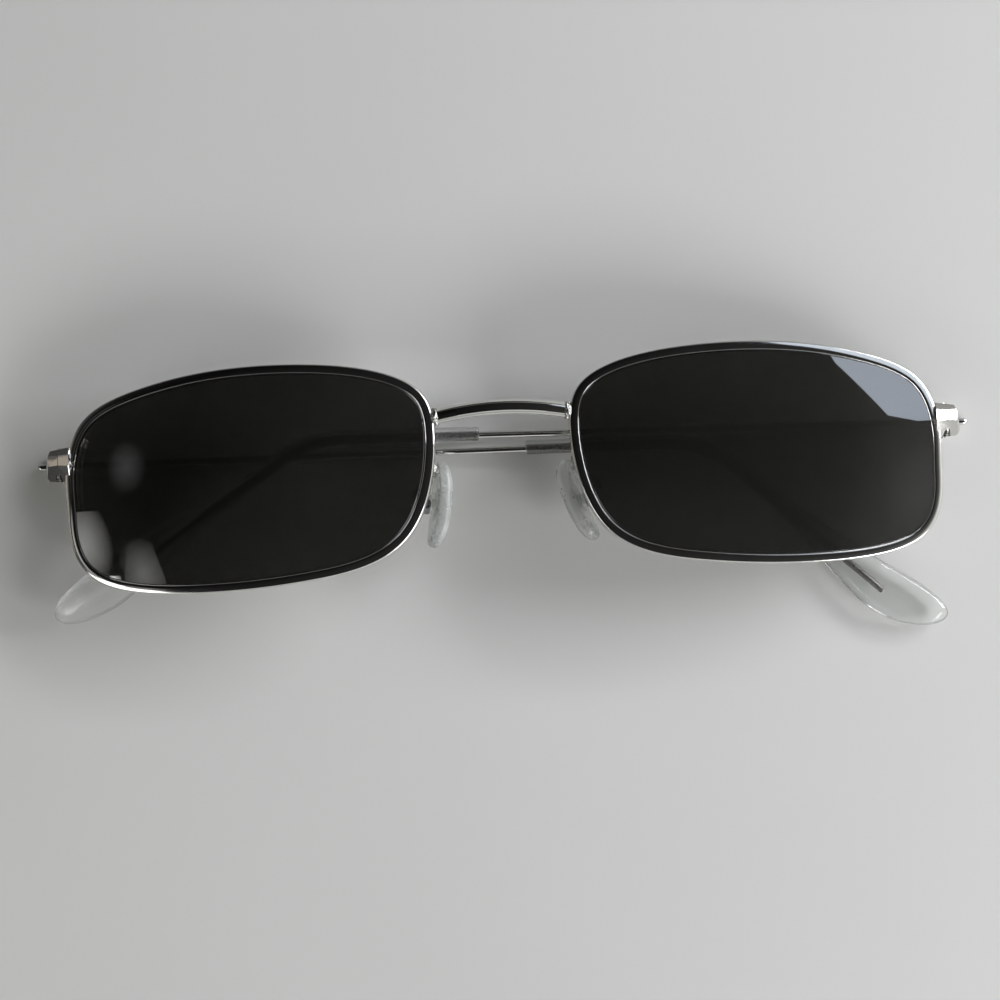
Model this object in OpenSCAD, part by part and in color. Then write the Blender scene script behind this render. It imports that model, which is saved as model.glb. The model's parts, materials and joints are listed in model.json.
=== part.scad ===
// Small rectangular metal sunglasses, folded and lying on their back.
// +X is the wearer's left-to-right line, +Y the top of the glasses, +Z the side that the lenses face.
// The glasses rest on z = 0 and the origin lies under the middle of their box.

/* [Lenses] */
// Width of each lens
lens_w = 50.6; // [48:0.2:53]
// Height of each lens
lens_h = 29.2; // [27:0.1:32]
// Distance between the two lenses
lens_gap = 20.9; // [20:0.1:23]
// Thickness of each lens
lens_t = 2; // [1.6:0.1:2.2]
// Radius of the lens surface
lens_r = 130; // [110:5:200]
// Angle by which each lens turns back towards the temples
face_angle = 5; // [3:0.5:7]
// Height of the bevel round the lens edge
bevel_h = 0.35; // [0.25:0.05:0.4]
// Width of that bevel at its foot
bevel_w = 0.7; // [0.6:0.05:0.9]

/* [Rims] */
// Width of the rim wire, seen from the front
rim_w = 1.4; // [1.3:0.05:1.7]
// Depth of the rim wire, front to back
rim_d = 1.9; // [1.8:0.05:2.3]
// Rounding of the rim's outer corners
rim_round = 0.5; // [0.3:0.05:0.6]
// Chamfer of the rim's inner lips
rim_lip = 0.15; // [0.1:0.05:0.2]
// Gap of the rim where the lock closes it
split_gap = 0.2; // [0.1:0.05:0.3]

/* [Bridge] */
// Height of the bridge's ends above the lens centres
bridge_y = 7; // [5:0.5:9]
// Rise of the bridge's middle above its ends
bridge_rise = 1; // [0.5:0.1:2]
// Forward arch of the bridge's middle
bridge_arch = 1.2; // [0.5:0.1:2]
// Height of the bridge bar
bridge_w = 2; // [1.8:0.1:2.4]
// Thickness of the bridge bar
bridge_t = 1.6; // [1.3:0.1:1.8]

/* [Endpieces] */
// Height of the endpiece
end_h = 4.8; // [4.4:0.1:5.4]
// Reach of the endpiece past the rim
end_out = 3; // [2.9:0.1:3.4]
// Depth of the endpiece, front to back
end_d = 2.6; // [2.4:0.1:3]
// Height of the flat facet on the endpiece's front
facet_h = 1.65; // [1.2:0.05:2]
// Depth of the bevels above and below that facet
facet_bevel = 1.1; // [0.8:0.1:1.3]
// Wall of the endpiece in front of the rim lock
end_wall = 0.7; // [0.6:0.05:0.8]

/* [Rim locks] */
// Height of both halves of a lock together
lock_h = 4; // [3.6:0.1:4.2]
// Depth of the lock, front to back
lock_d = 1.8; // [1.7:0.05:1.85]
// Radius of the lock screw
lock_screw_r = 0.45; // [0.4:0.05:0.5]
// Radius of the lock screw's head
lock_head_r = 0.6; // [0.55:0.05:0.65]
// Height of the lock screw's head
lock_head_h = 0.45; // [0.3:0.05:0.55]
// Depth of the counterbore that sinks that head
lock_sink = 0.7; // [0.6:0.05:0.8]

/* [Hinges] */
// Height of the hinges above the lens centres
hinge_y = 3.3; // [2.5:0.1:4.5]
// Distance of the hinge pins behind the front plane
hinge_back = 10.6; // [10.6:0.1:11.5]
// Radius of the hinge knuckles
knuckle_r = 1.1; // [1:0.05:1.2]
// Height of the temple's knuckle
mid_h = 1.4; // [1.2:0.1:1.8]
// Height of each knuckle above and below it
outer_h = 1.25; // [1:0.05:1.5]
// Gap between neighbouring knuckles
knuckle_gap = 0.05; // [0.04:0.01:0.1]
// Radius of the hinge screw
pin_r = 0.6; // [0.5:0.05:0.65]
// Clearance round the hinge screw
pin_clear = 0.04; // [0.02:0.01:0.08]
// Radius of the hinge screw's head
pin_head_r = 1; // [0.9:0.05:1.1]
// Height of the hinge screw's head
pin_head_h = 0.6; // [0.4:0.1:0.8]
// Thickness of the hinge plate
plate_t = 0.7; // [0.5:0.05:0.75]

/* [Temples] */
// Length of each temple from the hinge pin
temple_len = 135; // [125:1:145]
// Thickness of the temple wire
bar_w = 1; // [0.9:0.05:1.1]
// Distance of the temple wire from the hinge pin
bar_off = 1.3; // [1.25:0.05:1.4]
// Length of the temple ahead of the hinge pin
butt_len = 4.3; // [4:0.1:4.3]
// Distance of the left temple's bend from its hinge pin
bend_at_left = 92.4; // [88:0.2:94]
// Distance of the right temple's bend from its hinge pin
bend_at_right = 90.8; // [88:0.2:94]
// Bend of the left temple
bend_left = 42; // [36:0.2:45]
// Bend of the right temple
bend_right = 34.4; // [32:0.2:45]
// Radius of both bends
bend_r = 16; // [14:1:24]
// Length of wire inside the tip past the bend
core_len = 27.5; // [20:0.5:30]

/* [Temple tips] */
// Length of each clear tip
tip_len = 68.4; // [62:0.2:70]
// Thickness of the tip where it begins
sleeve_w = 2.1; // [2:0.05:2.3]
// Distance of the sleeve's middle from the wire inside it
sleeve_off = 0.2; // [0:0.05:0.25]
// Width of the tip's paddle
paddle_w = 7.1; // [6:0.1:7.4]
// Thickness of the tip's paddle
paddle_t = 2.8; // [2.4:0.1:2.9]
// Sideways curve of the left paddle's end
hook_left = 2.8; // [0:0.1:3]
// Sideways curve of the right paddle's end
hook_right = 0.6; // [0:0.1:1]
// Turn of the right paddle about its own length
twist_right = 36; // [0:1:38]
// Clearance round the wire inside the tip
core_clear = 0.06; // [0.04:0.01:0.1]

/* [Folded pose] */
// Rise of the right temple from its hinge towards the rims
lift_right = 1.65; // [1.6:0.05:1.8]
// Rise of the left temple from its hinge towards the rims
lift_left = 0.5; // [0.45:0.05:0.55]
// Slant of the right temple up towards its bend
slant_right = 1.25; // [0.95:0.05:1.4]
// Slant of the left temple down towards its bend
slant_left = -0.7; // [-1:0.1:-0.4]

/* [Nose pads] */
// Length of each nose pad
pad_len = 12.2; // [11:0.1:13]
// Width of each nose pad
pad_w = 6.6; // [6:0.1:7]
// Bow of each pad towards the nose
pad_bow = 0.6; // [0:0.1:0.8]
// Thickness of each nose pad
pad_t = 2.1; // [1.9:0.1:2.4]
// Distance of the pad's back from its screw
pad_off = 1.5; // [1.4:0.1:1.9]
// Distance of the left pad's screw from the middle of the bridge
pad_x_left = 11.5; // [11:0.1:12]
// Distance of the right pad's screw from the middle of the bridge
pad_x_right = 12.1; // [11:0.1:12.5]
// Drop of the pad screw below the lens centres
pad_drop = 4.7; // [3.5:0.1:5.5]
// Distance of the pad screw behind the front plane
pad_back = 5.9; // [5.7:0.1:6.4]
// Flare of the pads, their front edges closer together
pad_splay = 12; // [6:1:14]
// Lean of the pad boxes, their tops closer together
pad_lean = 13.5; // [11:0.5:16]
// Lean that the left pad rests at, less than its box
rock_left = -5; // [-8:0.5:8]
// Lean that the right pad rests at, more than its box
rock_right = 6.5; // [-8:0.5:8]
// Thickness of the pad arm wire
arm_w = 1; // [0.8:0.05:1.2]
// Height on the rim where the pad arm starts
arm_y = 0.3; // [-1:0.1:1.5]
// Radius of the pad screw
pad_screw_r = 0.45; // [0.35:0.05:0.5]
// Wall of the pad box
box_wall = 0.35; // [0.3:0.05:0.4]
// Width of the post that the pad box holds
post_w = 1.5; // [1.3:0.1:1.6]
// Thickness of that post
post_t = 1.2; // [1.1:0.05:1.4]

/* [Hidden] */

$fn = 48;
rings = 60;         // sections round each rim
seat = 0.03;        // bite of brazed joints
split_lock = 0.1;   // gap between the two halves of a lock
lip_cover = 0.35;   // reach of the endpiece in front of the rim
lock_bite = 0.6;    // reach of the lock into the rim's outline
lock_reach = 1.72;  // reach of the lock past the rim
screw_reach = 1.05; // distance of the lock screw past the rim
screw_back = 0.75;  // distance of the lock screw behind the lock's front
plate_out = 0.5;    // distance of the hinge plate's outer face from the pin
bar_inset = 0.6;    // reach of the temple wire past the endpiece's side
hem = 0.02;         // play under the screw heads
slot_w = 0.2;       // width of the screwdriver slots
grip_len = 6;       // length over which the tip grips the wire
box_play = 0.08;    // play of the pad's post in its box
box_space = 0.35;   // space above and below that post, for the pad to rock

steel = [0.78, 0.78, 0.77];
smoke = [0.10, 0.10, 0.10];
clear = [0.88, 0.90, 0.90];

// Control points of the lens outline as shares of its half width and half height.
// They start at the temple side and go over the top; a cubic spline is drawn by them.
outline = [[1.01, 0.08], [0.95, 0.62], [0.64, 0.84], [0.13, 1.02], [-0.55, 0.99], [-0.93, 0.80],
           [-1.04, 0.48], [-0.93, -0.76], [-0.31, -0.95], [0.24, -1.02], [1.01, -0.96], [0.99, -0.14]];

function spline_at(c, t) =
    let (n = len(c), i = floor(t), f = t - i,
         b = [(1 - f)^3, 3 * f^3 - 6 * f^2 + 4, -3 * f^3 + 3 * f^2 + 3 * f + 1, f^3] / 6)
    b[0] * c[(i + n - 1) % n] + b[1] * c[i % n] + b[2] * c[(i + 1) % n] + b[3] * c[(i + 2) % n];
turns = len(outline);
sample = [for (k = [0:239]) spline_at(outline, k * turns / 240)];
u_lo = min([for (p = sample) p.x]);
u_hi = max([for (p = sample) p.x]);
v_lo = min([for (p = sample) p.y]);
v_hi = max([for (p = sample) p.y]);

// Point of the lens edge, its outward normal, and the point a distance d outside the edge
function edge(t) =
    let (p = spline_at(outline, t + turns))
    [lens_w * ((p.x - u_lo) / (u_hi - u_lo) - 0.5), lens_h * ((p.y - v_lo) / (v_hi - v_lo) - 0.5)];
function edge_normal(t) =
    let (d = edge(t + 0.01) - edge(t - 0.01))
    [d.y, -d.x] / norm(d);
function edge_out(t, d) = edge(t) + d * edge_normal(t);
// Parameter at which the edge reaches height y between two parameters, by halving
function at_height(y, a, b, k = 24) =
    let (m = (a + b) / 2)
    k == 0 ? m
    : (edge(m).y - y) * (edge(b).y - y) <= 0 ? at_height(y, m, b, k - 1)
    : at_height(y, a, m, k - 1);

t_split = at_height(hinge_y, -1, 1.5);
t_bridge = at_height(bridge_y, 4.5, 7.5);
t_arm = at_height(arm_y, 4.5, 7.5);
edge_speed = norm(edge(t_split + 0.01) - edge(t_split - 0.01)) / 0.02;
t_gap = split_gap / 2 / edge_speed;
t_ring = [for (k = [0:rings - 1]) t_split + t_gap + k * (turns - 2 * t_gap) / (rings - 1)];

// Heights and places that follow from the sizes
fold_lift = max(lift_left, lift_right);
hinge_z = bar_off + bar_w / 2 + butt_len * sin(fold_lift);
front_z = hinge_z + hinge_back;
lens_x = (lens_gap + lens_w) / 2;
rim_out = rim_w - bevel_h;
function sag(p) = -(p.x * p.x + p.y * p.y) / (2 * lens_r);
// Point of the right lens in the glasses' own axes: edge point p, distance w in front of the lens surface
function on_lens(p, w) =
    let (h = sag(p) + w)
    [lens_x + p.x * cos(face_angle) + h * sin(face_angle), p.y,
     h * cos(face_angle) - p.x * sin(face_angle)];
rim_side = on_lens(edge_out(t_split, rim_out), 0);
end_x = rim_side.x + end_out;
end_front = rim_side.z + rim_d / 2 + lip_cover;
end_back = end_front - end_d;
hinge_x = end_x - bar_off - bar_w / 2 + bar_inset;
lock_in = rim_side.x - lock_bite;
lock_out = rim_side.x + lock_reach;
lock_x = rim_side.x + screw_reach;
lock_front = end_front - end_wall;
lock_back = lock_front - lock_d;
lock_z = lock_front - screw_back;
lock_foot = hinge_y - lock_h / 2;
lock_head_y = lock_foot + lock_sink;
hinge_h = mid_h + 2 * knuckle_gap + 2 * outer_h;

// Sweeps: rings of equal point counts become a closed tube with flat ends
function flip(f) = [for (k = [len(f) - 1:-1:0]) f[k]];
function skin_faces(n, k, start = 0) =
    [for (i = [0:n - 2]) for (j = [0:k - 1])
        let (a = start + i * k + j, b = start + i * k + (j + 1) % k)
        each [[a, b, b + k], [a, b + k, a + k]]];
module tube(sections) {
    k = len(sections[0]);
    n = len(sections);
    pts = [for (s = sections) each s];
    head = [for (j = [k - 1:-1:0]) j];
    tail = [for (j = [0:k - 1]) (n - 1) * k + j];
    polyhedron(pts, concat([for (f = skin_faces(n, k)) flip(f)], [flip(head), flip(tail)]), convexity = 8);
}

// Places a module drawn for the wearer's right side of the view, on either side
module side(right) {
    translate([0, front_y, front_z]) mirror([right ? 0 : 1, 0, 0]) children();
}

// Rim section: out from the lens edge, and forward
function arc_pts(c, r, a0, a1, n) =
    [for (i = [0:n]) let (a = a0 + (a1 - a0) * i / n) c + r * [cos(a), sin(a)]];
rim_half = rim_d / 2;
groove_half = bevel_w / 2 + 0.1;
rim_section = concat(
    [[-seat, 0], [-bevel_h, -groove_half], [-bevel_h, rim_lip - rim_half], [rim_lip - bevel_h, -rim_half]],
    arc_pts([rim_out - rim_round, rim_round - rim_half], rim_round, -90, 0, 3),
    arc_pts([rim_out - rim_round, rim_half - rim_round], rim_round, 0, 90, 3),
    [[rim_lip - bevel_h, rim_half], [-bevel_h, rim_half - rim_lip], [-bevel_h, groove_half]]);

module rim() {
    section = flip(rim_section);
    color(steel) tube([for (t = t_ring) [for (s = section) on_lens(edge_out(t, s.x), s.y)]]);
}

// Lens: the front and back surfaces in rings, and a bevelled edge between them
shoulder = -bevel_h - 0.04;
lens_shares = [0.35, 0.65, 0.86, 1];
module lens() {
    k = rings;
    function ring(share, w) = [for (t = t_ring) on_lens(share * edge_out(t, shoulder), w)];
    face_w = lens_t / 2;
    sections = concat([for (s = lens_shares) ring(s, -face_w)],
                      [ring(1, -bevel_w / 2), [for (t = t_ring) on_lens(edge(t), 0)], ring(1, bevel_w / 2)],
                      [for (i = [3:-1:0]) ring(lens_shares[i], face_w)]);
    n = len(sections);
    pts = concat([for (s = sections) each s], [on_lens([0, 0], -face_w), on_lens([0, 0], face_w)]);
    caps = [for (j = [0:k - 1]) let (a = j, b = (j + 1) % k, top = (n - 1) * k)
        each [[b, n * k, a], [top + a, n * k + 1, top + b]]];
    skin = [for (f = skin_faces(n, k)) flip(f)];
    color(smoke, 0.9) polyhedron(pts, concat(skin, caps), convexity = 4);
}

// Prism of everything inside the rim's outer side, used to seat brazed pieces on it
module inside_rim(grow) {
    translate([lens_x, 0, 0]) rotate([0, face_angle, 0]) translate([0, 0, -20])
        linear_extrude(40) polygon([for (t = t_ring) edge_out(t, rim_out + grow)]);
}

// Bridge: an arched bar from rim to rim
function oval(w, t, n, p = 0.8) =
    [for (i = [0:n - 1]) let (a = 360 * i / n, c = cos(a), s = sin(a))
        [sign(c) * abs(c)^p * w / 2, sign(s) * abs(s)^p * t / 2]];
module bridge_bar() {
    foot = on_lens(edge_out(t_bridge, rim_out - 0.25), 0.1);
    path = [for (i = [-8:8]) let (f = i / 8)
        [f * foot.x, foot.y + bridge_rise * (1 - f * f), foot.z + bridge_arch * (1 - f * f)]];
    color(steel) translate([0, front_y, front_z])
        tube([for (i = [0:16])
            let (d = path[min(i + 1, 16)] - path[max(i - 1, 0)], a = atan2(d.y, d.x))
            [for (q = oval(bridge_w, bridge_t, 12)) path[i] + [-q.x * sin(a), q.x * cos(a), q.y]]]);
}

// Endpiece: a bevelled block round the corner of the front, open behind for the lock
module endpiece() {
    y_lo = hinge_y - end_h / 2 + 0.1;
    y_hi = y_lo + end_h;
    facet_lo = y_hi - facet_bevel - facet_h;
    x_in = rim_side.x - 1.6;
    fold_x = rim_side.x + 0.4 * end_out;
    color(steel) difference() {
        intersection() {
            translate([x_in, 0, 0]) rotate([90, 0, 90]) linear_extrude(end_x - x_in + 1)
                polygon([[y_lo, end_back], [y_lo, end_front - facet_bevel], [facet_lo, end_front],
                         [y_hi - facet_bevel, end_front], [y_hi, end_front - facet_bevel],
                         [y_hi, end_back]]);
            translate([0, y_hi + 1, 0]) rotate([90, 0, 0]) linear_extrude(end_h + 2)
                polygon([[x_in, end_back], [end_x + 0.5, end_back], [end_x - 0.2, end_front - 0.5],
                         [fold_x, end_front], [x_in, end_front - 0.1]]);
            translate([0, 0, end_back - 1]) linear_extrude(end_d + 2)
                polygon([[x_in, y_lo], [end_x - 0.3, y_lo], [end_x + 0.5, y_lo + 0.9],
                         [end_x - 0.1, y_hi - 1.3], [end_x - 0.5, y_hi - 0.35], [x_in, y_hi + 0.2]]);
        }
        inside_rim(-seat);
        lock_counterbore();
        translate([x_in - 1, y_lo - 1, end_back - 1])
            cube([lock_out + seat - x_in + 1, end_h + 2, lock_front - end_back + 1]);
    }
}

// Rim lock: two half blocks brazed to the rim's ends, drawn together by a screw sunk in from below
module lock_counterbore() {
    translate([lock_x, lock_foot - 1, lock_z]) rotate([-90, 0, 0])
        cylinder(h = lock_sink + 1, r = lock_head_r + 0.1);
}
module lock_half(upper) {
    y0 = upper ? hinge_y + split_lock / 2 : lock_foot;
    bore_r = upper ? lock_screw_r - seat : lock_screw_r + 0.05;
    color(steel) difference() {
        translate([lock_in, y0, lock_back])
            cube([lock_out - lock_in, lock_h / 2 - split_lock / 2, lock_d]);
        inside_rim(-seat);
        translate([lock_x, y0 - 1, lock_z]) rotate([-90, 0, 0]) cylinder(h = lock_h, r = bore_r);
        lock_counterbore();
    }
}
module lock_screw() {
    color(steel) difference() {
        translate([lock_x, 0, lock_z]) rotate([-90, 0, 0]) {
            translate([0, 0, lock_head_y - lock_head_h]) cylinder(h = lock_head_h, r = lock_head_r);
            translate([0, 0, lock_head_y - seat]) cylinder(h = lock_h - lock_sink - 0.6, r = lock_screw_r);
        }
        translate([lock_x, lock_head_y - lock_head_h, lock_z])
            cube([slot_w, lock_head_h, 3 * lock_head_r], center = true);
    }
}

// Hinge: a plate with two knuckles on the front, one knuckle on the temple, and a screw
module knuckle(y0, h) {
    translate([hinge_x, y0, -hinge_back]) rotate([-90, 0, 0]) cylinder(h = h, r = knuckle_r);
}
module pin_bore(y0, r) {
    translate([hinge_x, y0, -hinge_back]) rotate([-90, 0, 0]) cylinder(h = 2 * hinge_h, r = r);
}
hinge_lo = hinge_y - hinge_h / 2;
mid_lo = hinge_y - mid_h / 2;
plate_x = hinge_x + plate_out - plate_t;
plate_end = -hinge_back + knuckle_r + 0.2;
module hinge_front() {
    color(steel) difference() {
        union() {
            translate([plate_x, hinge_lo, plate_end]) cube([plate_t, hinge_h, end_back + seat - plate_end]);
            for (y0 = [hinge_lo, hinge_y + mid_h / 2 + knuckle_gap]) {
                knuckle(y0, outer_h);
                translate([plate_x, y0, -hinge_back]) cube([plate_t, outer_h, knuckle_r + 0.4]);
            }
        }
        pin_bore(hinge_lo - 1, pin_r - seat);
        pin_bore(hinge_lo + outer_h, pin_r + pin_clear);
    }
}
module hinge_screw() {
    top = hinge_y + hinge_h / 2;
    color(steel) difference() {
        translate([hinge_x, 0, -hinge_back]) rotate([-90, 0, 0]) {
            translate([0, 0, top + hem]) cylinder(h = pin_head_h, r = pin_head_r);
            translate([0, 0, hinge_lo - 0.4]) cylinder(h = hinge_h + 0.5, r = pin_r);
        }
        translate([hinge_x, top + pin_head_h, -hinge_back])
            cube([3 * pin_head_r, pin_head_h, 0.25], center = true);
    }
}

// The temple lies along local X from the hinge pin, with local Z towards the lenses
module temple_place(lift, slant) {
    translate([hinge_x, hinge_y, -hinge_back]) mirror([1, 0, 0])
        rotate([0, -lift, 0]) rotate([0, 0, slant]) children();
}
module hinge_temple(lift, slant) {
    color(steel) difference() {
        knuckle(mid_lo, mid_h);
        pin_bore(hinge_lo, pin_r + pin_clear);
        temple_place(lift, slant)
            translate([-butt_len, -bar_w / 2, -bar_off - bar_w / 2])
                cube([2 * butt_len, bar_w, bar_w - seat]);
    }
}

// Middle line of a temple bent by an angle where its legs would meet, as [x, y, heading] at distance s
function bend_tan(bend) = bend_r * tan(bend / 2);
function bend_arc(bend) = bend_r * bend * PI / 180;
function temple_at(s, at, bend) =
    let (s0 = at - bend_tan(bend), s1 = s0 + bend_arc(bend),
         a = s <= s0 ? 0 : s >= s1 ? bend : (s - s0) / bend_r * 180 / PI,
         x1 = s0 + bend_r * sin(a), y1 = -bend_r * (1 - cos(a)),
         rest = s <= s0 ? s - s0 : max(0, s - s1))
    [x1 + rest * cos(a), y1 - rest * sin(a), -a];
// Section across the middle line: q.x sideways, q.y along local Z
function temple_ring(s, at, bend, shape, shift = 0, turn = 0) =
    let (m = temple_at(s, at, bend), c = cos(m.z), n = sin(m.z))
    [for (q = shape)
        let (w = q.x * cos(turn) - q.y * sin(turn) + shift, h = q.x * sin(turn) + q.y * cos(turn))
        [m.x - w * n, m.y + w * c, h - bar_off]];
function steps(a, b, n) = [for (i = [0:n]) a + (b - a) * i / n];
module temple_bar(at, bend) {
    s0 = at - bend_tan(bend);
    s1 = s0 + bend_arc(bend);
    ends = concat([-butt_len], steps(s0, s1, 8), [s1 + core_len]);
    color(steel) tube([for (s = ends) temple_ring(s, at, bend, oval(bar_w, bar_w, 12, 0.9))]);
}

// Growth from the sleeve to the paddle, sideways curve and end rounding at a share f of the tip's length
function ease(f) = let (g = max(0, min(1, f))) g * g * (3 - 2 * g);
function tip_grow(f) = ease((f - 0.53) / 0.38);
function tip_shift(f, hook) = sleeve_off * (1 - tip_grow(f)) + hook * max(0, (f - 0.8) / 0.2)^2;
function tip_end(f) = f < 0.87 ? 1 : sqrt(max(0, 1 - ((f - 0.87) / 0.13)^2));
function tip_shape(f, n) =
    let (g = tip_grow(f), e = tip_end(f), start = f < 0.002 ? 0.8 : 1,
         w = start * e * (sleeve_w + (paddle_w - sleeve_w) * g),
         t = start * (0.35 + 0.65 * e) * (sleeve_w + (paddle_t - sleeve_w) * g))
    oval(w, t, n, 1 - 0.35 * g);
module temple_tip(at, bend, twist, hook) {
    s_in = temple_len - tip_len;
    s0 = at - bend_tan(bend);
    s1 = s0 + bend_arc(bend);
    core = s1 + core_len;
    hole = bar_w + 2 * core_clear;
    outer_s = concat([s_in, s_in + 0.4], steps(s0, s1, 8), steps(s1 + 3, temple_len - 5, 8),
                     [for (f = [0.94, 0.96, 0.977, 0.989, 0.997]) s_in + f * tip_len]);
    inner_s = concat([s_in, s_in + grip_len], steps(s0, s1, 8), [core + 0.3]);
    k = 16;
    outer = [for (s = outer_s) let (f = (s - s_in) / tip_len)
        temple_ring(s, at, bend, tip_shape(f, k), tip_shift(f, hook), twist * ease((f - 0.4) / 0.3))];
    grip = bar_w - seat;
    inner = [for (s = inner_s) let (h = s > s_in + grip_len ? hole : grip)
        temple_ring(s, at, bend, oval(h, h, k, 0.9))];
    n = len(outer);
    m = len(inner);
    pts = concat([for (r = outer) each r], [for (r = inner) each r]);
    skin = [for (f = skin_faces(n, k)) flip(f)];
    bore = skin_faces(m, k, n * k);
    mouth = [for (j = [0:k - 1]) let (a = j, b = (j + 1) % k)
        each [[a, b, b + n * k], [a, b + n * k, a + n * k]]];
    caps = [[for (j = [k - 1:-1:0]) (n - 1) * k + j], [for (j = [0:k - 1]) (n + m - 1) * k + j]];
    color(clear, 0.5) polyhedron(pts, concat(skin, bore, mouth, caps), convexity = 8);
}

// Nose pads: local Y along the pad, local Z forward, local X away from the nose, zero at the screw
module pad_place(x, rock) {
    translate([x, -pad_drop, -pad_back]) rotate([0, -pad_splay, 0])
        rotate([0, 0, pad_lean + rock]) children();
}
function turn_z(p, a) = [p.x * cos(a) - p.y * sin(a), p.x * sin(a) + p.y * cos(a), p.z];
function turn_y(p, a) = [p.x * cos(a) + p.z * sin(a), p.y, p.z * cos(a) - p.x * sin(a)];
function box_point(x, p) = [x, -pad_drop, -pad_back] + turn_y(turn_z(p, pad_lean), -pad_splay);
box_y = post_w / 2 + box_space;
box_z = post_t / 2 + box_play;
box_back = 1;
box_mouth = -0.8;
module pad_box(x) {
    color(steel) pad_place(x, 0) difference() {
        translate([box_mouth, -box_y - box_wall, -box_z - box_wall])
            cube([box_back + box_wall - box_mouth, 2 * (box_y + box_wall), 2 * (box_z + box_wall)]);
        translate([box_mouth - 1, -box_y, -box_z]) cube([box_back - box_mouth + 1, 2 * box_y, 2 * box_z]);
        translate([0, 0, -box_z - 1]) cylinder(h = 2, r = pad_screw_r - seat);
        translate([0, 0, -box_z]) cylinder(h = 2 * box_z + 2, r = pad_screw_r + pin_clear);
    }
}
module pad_screw(x) {
    reach = box_z + box_wall;
    color(steel) pad_place(x, 0) difference() {
        union() {
            translate([0, 0, -reach - 0.2]) cylinder(h = 2 * reach + 0.3, r = pad_screw_r);
            translate([0, 0, reach + hem]) cylinder(h = 0.4, r = 1.6 * pad_screw_r);
        }
        translate([0, 0, reach + 0.42]) cube([4 * pad_screw_r, slot_w, 0.4], center = true);
    }
}
module pad_disc() {
    translate([-pad_off - 1.1, 0, 0]) rotate([0, 90, 0]) cylinder(h = 0.6, r = 1.9);
}
module pad_post() {
    translate([-pad_off - 0.9, -post_w / 2, -post_t / 2]) cube([pad_off + 1.5, post_w, post_t]);
}
module pad_insert(x, rock) {
    color(clear) pad_place(x, rock) difference() {
        union() {
            pad_post();
            pad_disc();
        }
        translate([0, 0, -post_t]) cylinder(h = 2 * post_t, r = pad_screw_r + pin_clear);
    }
}
// Outline of the pad at a depth x: round below, cut flat above, with a slight taper
function pad_ring(x, share, top) =
    [for (i = [0:23])
        let (a = 360 * i / 24, c = cos(a), s = sin(a),
             y = sign(s) * abs(s)^(s > 0 ? 0.5 : 0.9) * pad_len / 2 * (s > 0 ? top : share),
             z = sign(c) * abs(c)^0.75 * pad_w / 2 * share * (1 - 0.18 * y / pad_len))
        [x + pad_bow * (2 * y / pad_len)^2, y, z]];
// Layers of the pad from its back to its face: shares of its thickness, of its outline and of its top
pad_layers = [[0, 0.01, 0.01], [0, 0.45, 0.5], [0, 0.82, 0.97], [0.25, 0.96, 1], [0.55, 1, 1],
              [0.78, 0.93, 0.95], [0.93, 0.75, 0.8], [1, 0.4, 0.42], [1, 0.01, 0.01]];
module nose_pad(x, rock) {
    color(clear, 0.6) pad_place(x, rock) difference() {
        tube([for (f = pad_layers) pad_ring(-pad_off - f[0] * pad_t, f[1], f[2])]);
        union() {
            pad_disc();
            pad_post();
        }
    }
}

// Pad arm: a bent wire from the back of the rim to the back of the pad box
function pull(a, b, c, d, t) = (1 - t)^3 * a + 3 * (1 - t)^2 * t * b + 3 * (1 - t) * t^2 * c + t^3 * d;
module pad_arm(x) {
    start = on_lens(edge_out(t_arm, rim_out / 2), -rim_d / 2 + 0.15);
    finish = box_point(x, [box_back + box_wall - 0.15 + arm_w / 2, 0.6, 0]);
    out = start + [-1.7, -0.8, -2.4];
    back = finish + [-1.8, 3, 1.2];
    path = [for (i = [0:10]) pull(start, out, back, finish, i / 10)];
    color(steel) tube([for (i = [0:10])
        let (d = path[min(i + 1, 10)] - path[max(i - 1, 0)], w = d / norm(d),
             u0 = cross(w, [0, 1, 0.3]), u = u0 / norm(u0), v = cross(w, u))
        [for (q = oval(arm_w, arm_w, 8, 1)) path[i] + q.x * u + q.y * v]]);
}

// Offset that centres the box of the whole part on the origin
rim_top = max([for (t = t_ring) edge_out(t, rim_out).y]);
function tip_low(at, bend, slant, hook) =
    min([for (f = [0.7:0.01:0.99])
        let (m = temple_at(temple_len - tip_len * (1 - f), at, bend),
             w = paddle_w / 2 * tip_end(f) * tip_grow(f))
        hinge_y + m.x * sin(slant) + (m.y - (w - tip_shift(f, hook)) * cos(m.z)) * cos(slant)]);
front_y = -(rim_top + min(tip_low(bend_at_left, bend_left, slant_left, hook_left),
                          tip_low(bend_at_right, bend_right, slant_right, hook_right))) / 2;

module rim_left() { side(false) rim(); }
module rim_right() { side(true) rim(); }
module lens_left() { side(false) lens(); }
module lens_right() { side(true) lens(); }
module bridge() { bridge_bar(); }
module endpiece_left() { side(false) endpiece(); }
module endpiece_right() { side(true) endpiece(); }
module lock_upper_left() { side(false) lock_half(true); }
module lock_upper_right() { side(true) lock_half(true); }
module lock_lower_left() { side(false) lock_half(false); }
module lock_lower_right() { side(true) lock_half(false); }
module lock_screw_left() { side(false) lock_screw(); }
module lock_screw_right() { side(true) lock_screw(); }
module hinge_front_left() { side(false) hinge_front(); }
module hinge_front_right() { side(true) hinge_front(); }
module hinge_screw_left() { side(false) hinge_screw(); }
module hinge_screw_right() { side(true) hinge_screw(); }
module pad_arm_left() { side(false) pad_arm(pad_x_left); }
module pad_arm_right() { side(true) pad_arm(pad_x_right); }
module pad_box_left() { side(false) pad_box(pad_x_left); }
module pad_box_right() { side(true) pad_box(pad_x_right); }
module pad_screw_left() { side(false) pad_screw(pad_x_left); }
module pad_screw_right() { side(true) pad_screw(pad_x_right); }
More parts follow.
